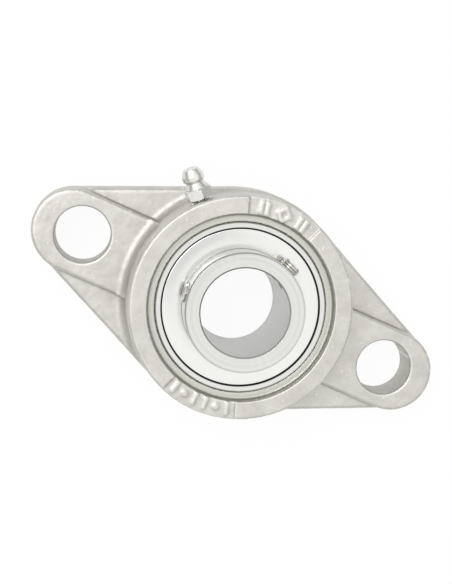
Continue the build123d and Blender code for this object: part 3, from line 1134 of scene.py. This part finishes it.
@dataclass
class SetScrew:
    """Socket set screw with its thread cut for real."""

    number: int
    angle: float
    tip: float
    height: float = 30.8
    length: float = 5.0
    radius: float = 2.96
    pitch: float = 0.75
    depth: float = 0.46
    chamfer: float = 0.55
    lead_in: float = 0.12
    rows_per_pitch: int = 14
    socket: float = 3.0
    socket_depth: float = 2.3
    columns: int = 72
    finishes: Finishes = field(default_factory=dict)

    def rows(self) -> list[np.ndarray]:
        """Shape the screw, from its cup point up the thread and down into the socket.

        Returns:
            Closed rows of points.
        """
        angles = around(self.columns)
        turn = angles / (2 * math.pi)
        cup = ((0.02, 0.62), (1.2, 0.12), (1.5, 0.0), (1.75, 0.0))
        rows = [row_at(angles, radius, height) for radius, height in cup]
        for height in np.linspace(0.02, self.length, int(self.length / self.pitch * self.rows_per_pitch)):
            taper = min(height, self.length - height) + self.radius - self.chamfer - self.lead_in
            thread = self.radius - self.depth + self.depth * thread_flank(height, turn, self.pitch)
            rows.append(row_at(angles, np.minimum(thread, taper), height))
        apothem = self.socket / 2
        sector = math.pi / 3
        hexagon = apothem / np.cos(np.mod(angles, sector) - sector / 2)
        floor = self.length - self.socket_depth
        mouth = ((1.16, self.length), (1.02, self.length - 0.14), (1.0, self.length - 0.22), (1.0, floor))
        rows += [row_at(angles, hexagon * share, height) for share, height in mouth]
        rows += [row_at(angles, apothem * 0.9, floor - 0.1), row_at(angles, 0.02, floor - 0.7)]
        return rows

    def build(self) -> bpy.types.Object:
        """Make the screw in place of its plain CAD cylinder.

        Returns:
            The screw.
        """
        way = outward(self.angle)
        place = placed(way * self.tip + Vector((0, 0, self.height)), way, Vector((0, 0, 1)))
        name = f"set_screw_{self.number}"
        screw = row_mesh(f"{name}_threaded", self.rows(), place, False)
        return fit(screw, name, "screw_steel", self.finishes["screw"], name)


# -------------------------------------------------------------------------- grease nipple


@dataclass
class GreaseNipple:
    """Nipple body with hexagon, neck and head, its spring and washer. Heights are from its seat."""

    angle: float = 134.4
    tip_height: float = 8.7
    hexagon: float = 7.0
    hex_height: float = 3.0
    hex_turn: float = 40.0
    base_cut: float = 0.35
    base_cut_height: float = 0.22
    top_cut: float = 0.62
    top_cut_height: float = 0.42
    shank: float = 5.0
    root_radius: float = 2.40
    thread_depth: float = 0.55
    pitch: float = 1.0
    columns: int = 180
    finishes: Finishes = field(default_factory=dict)

    def place(self) -> Matrix:
        """Frame on the nipple's seat, found from its packed mounting point.

        Returns:
            The frame's matrix.
        """
        mount = next(m for m in frame["record"]["mounts"] if m["name"] == "nipple_head")
        axis = Vector(mount["axis"]).normalized()
        tip = Vector(mount["pos_m"]) / MM
        side = Vector((-math.sin(math.radians(self.angle)), math.cos(math.radians(self.angle)), 0))
        return placed(tip - axis * self.tip_height, axis, side)

    def body_rows(self) -> list[np.ndarray]:
        """Shape the body, from the shank's end out to the tip and back down the bore.

        Returns:
            Closed rows of points.
        """
        angles = around(self.columns)
        sector = math.pi / 3
        local = np.mod(angles - math.radians(self.hex_turn), sector) - sector / 2
        apothem = self.hexagon / 2
        hexagon = apothem / np.cos(local)
        corner = apothem / math.cos(sector / 2)
        end = -self.shank
        shank_end = ((1.35, end), (2.3, end), (2.6, end + 0.15))
        rows = [row_at(angles, radius, height) for radius, height in shank_end]
        turn = angles / (2 * math.pi)
        for height in np.linspace(-4.7, -0.5, 56):
            thread = self.root_radius + self.thread_depth * thread_flank(height, turn, self.pitch)
            rows.append(row_at(angles, np.minimum(thread, 2.6 + (height - end - 0.15)), height))
        relief = ((2.45, -0.35), (2.45, -0.04), (2.6, 0.0))
        rows += [row_at(angles, radius, height) for radius, height in relief]
        rows += [row_at(angles, np.minimum(hexagon, reach), 0.0) for reach in (3.4, corner - 0.3)]
        # the hexagon's corners are cut by a cone at each end, which leaves the usual scalloped edge
        for share in np.linspace(0, 1, 7):
            cone = corner - self.base_cut + self.base_cut * share
            rows.append(row_at(angles, np.minimum(hexagon, cone), self.base_cut_height * share))
        low = self.hex_height - self.top_cut_height
        for share in np.linspace(0, 1, 12):
            cone = corner - self.top_cut * share
            rows.append(row_at(angles, np.minimum(hexagon, cone), low + self.top_cut_height * share))
        top = np.minimum(hexagon, corner - self.top_cut)
        rows.append(row_at(angles, np.minimum(top, 3.44), self.hex_height + 0.02))
        rows.append(row_at(angles, 3.4, self.hex_height + 0.03))
        head = [
            Corner(3.34, 3.04),
            Corner(3.28, 3.25, 0.25),
            Corner(2.58, 4.45, 0.3),
            Corner(2.48, 4.7, 0.15),
            Corner(3.08, 5.46, 0.14),
            Corner(3.12, 5.6, 0.1),
            Corner(3.12, 6.78, 0.2),
            Corner(2.24, 8.58, 0.2),
            Corner(2.05, 8.7, 0.1),
            Corner(1.08, 8.7, 0.08),
            Corner(0.96, 8.58, 0.05),
            Corner(0.96, 8.4, 0.05),
            Corner(1.34, 8.38, 0.03),
            Corner(1.34, -4.98),
        ]
        rows += [row_at(angles, radius, height) for radius, height in rounded(head, closed=False)]
        return rows

    def build(self) -> None:
        """Make the nipple's pieces and dress its ball."""
        place = self.place()
        body = row_mesh("nipple_turning", self.body_rows(), place, True)
        fit(body, "housing", "nipple_steel", self.finishes["nipple"], "nipple_body")
        dress("nipple_ball", self.finishes["ball"])
        dress("nipple_washer", self.finishes["nipple"])
        dress("nipple_spring", self.finishes["spring"])


# ---------------------------------------------------------------------------------- stage


@dataclass
class Studio:
    """Pale floor, soft lights and the camera.

    The card is a slightly darker patch of the sky, which the bright metal mirrors.
    """

    camera_place: Triple = (-53.1, 25.3, 344.7)
    camera_right: Triple = (0.9048, 0.4129, 0.1042)
    camera_up: Triple = (-0.4001, 0.9081, -0.1240)
    lens: float = 69.9
    floor_size: float = 12.0
    floor_colour: Colour = (0.86, 0.86, 0.86)
    floor_glow: float = 1.0
    glow_seen: float = 0.94
    glow_lit: float = 0.5
    horizon: Colour = (0.30, 0.30, 0.295)
    halfway: Colour = (0.50, 0.50, 0.49)
    halfway_at: float = 0.45
    overhead: Colour = (1.0, 1.0, 0.99)
    sky_strength: float = 1.2
    bright_from: float = 0.77
    card_from: Triple = (-0.146, 0.070, 0.987)
    card_edge: tuple[float, float] = (0.97, 0.99)
    card_shade: float = 0.72
    key_from: Triple = (-0.536, 0.204, 0.819)
    key_strength: float = 0.92
    key_angle: float = 30.0

    def floor(self) -> None:
        """A pale floor that stays bright to the eye and takes a faint shadow."""
        half = self.floor_size / 2
        mesh = bpy.data.meshes.new("floor")
        corners = [(-half, -half, 0), (half, -half, 0), (half, half, 0), (-half, half, 0)]
        mesh.from_pydata(corners, [], [(0, 1, 2, 3)])
        floor = bpy.data.objects.new("floor", mesh)
        floor.location.z = -0.0002
        bpy.context.scene.collection.objects.link(floor)
        material = bpy.data.materials.new("pale floor")
        material.use_nodes = True
        s = Shader(material.node_tree)
        diffuse = s.add("BsdfDiffuse", {"Color": self.floor_colour})
        glow = s.add("Emission", {"Color": (1.0, 1.0, 1.0), "Strength": self.floor_glow})
        both = s.add("MixShader", {0: self.glow_seen, 1: diffuse.outputs[0], 2: glow.outputs[0]})
        lit = s.add("MixShader", {0: self.glow_lit, 1: diffuse.outputs[0], 2: glow.outputs[0]})
        seen = s.add("LightPath").outputs["Is Camera Ray"]
        out = s.add("MixShader", {0: seen, 1: lit.outputs[0], 2: both.outputs[0]})
        s.add("OutputMaterial", {"Surface": out.outputs[0]})
        mesh.materials.append(material)

    def sky(self) -> None:
        """White studio: bright overhead, greyer towards the horizon."""
        world = bpy.data.worlds.new("studio")
        bpy.context.scene.world = world
        world.use_nodes = True
        s = Shader(world.node_tree)
        way = s.add("TexCoord").outputs["Generated"]
        height = s.add("SeparateXYZ", {0: way}).outputs[2]
        ramp = s.add("ValToRGB", {0: s.span(height, -0.1, 1.0)})
        stops = ramp.color_ramp.elements
        stops[0].color = (*self.horizon, 1)
        stops[1].position = self.bright_from
        stops[1].color = (*self.overhead, 1)
        middle = stops.new(self.halfway_at)
        middle.color = (*self.halfway, 1)
        toward = s.add("VectorMath", {0: way, 1: self.card_from}, operation="DOT_PRODUCT")
        card = s.span(toward.outputs["Value"], *self.card_edge, 1.0, self.card_shade)
        strength = s.math("MULTIPLY", card, self.sky_strength)
        back = s.add("Background", {"Color": ramp.outputs[0], "Strength": strength})
        s.add("OutputWorld", {"Surface": back.outputs[0]})

    def key(self) -> None:
        """A broad soft light from one side that falls alike on the whole unit."""
        light = bpy.data.lights.new("key", "SUN")
        light.energy = self.key_strength
        light.angle = math.radians(self.key_angle)
        lamp = bpy.data.objects.new("key", light)
        lamp.location = Vector(self.key_from)
        lamp.rotation_mode = "QUATERNION"
        lamp.rotation_quaternion = (-lamp.location).to_track_quat("-Z", "Y")
        bpy.context.scene.collection.objects.link(lamp)

    def camera(self) -> None:
        """The camera, a little off the shaft axis."""
        right, up = Vector(self.camera_right), Vector(self.camera_up)
        back = right.cross(up)
        turn = Matrix((right, up, back)).transposed().to_4x4()
        data = bpy.data.cameras.new("camera")
        data.lens = self.lens
        data.sensor_width = 36.0
        data.clip_start = 0.01
        camera = bpy.data.objects.new("camera", data)
        camera.matrix_world = Matrix.Translation(Vector(self.camera_place) * MM) @ turn
        bpy.context.scene.collection.objects.link(camera)
        bpy.context.scene.camera = camera

    def build(self) -> None:
        """Set the stage."""
        bpy.context.scene.view_settings.view_transform = "Standard"
        self.floor()
        self.sky()
        self.key()
        self.camera()


# ----------------------------------------------------------------------------------- main


def main() -> None:
    """Build the bearing unit piece by piece."""
    logging.basicConfig(level=logging.INFO, format="%(name)s: %(message)s")
    effects = Effects()
    finishes = {
        "cast": CAST.make(effects),
        "bored": MOUTH.make(effects),
        "ring": RING.make(effects),
        "flinger": FLINGER.make(effects),
        "seal": SEAL_STEEL.make(effects),
        "cage": CAGE.make(effects),
        "ball": BALL.make(effects),
        "screw": SCREW.make(effects),
        "nipple": NIPPLE.make(effects),
        "spring": SPRING.make(effects),
        "rubber": RUBBER.make(effects),
    }
    Studio().build()
    Housing(finishes=finishes).build()
    Insert(finishes=finishes).build()
    SetScrew(1, 67.0, 14.2, finishes=finishes).build()
    SetScrew(2, 187.0, 12.7, finishes=finishes).build()
    GreaseNipple(finishes=finishes).build()


if __name__ == "__main__":
    main()
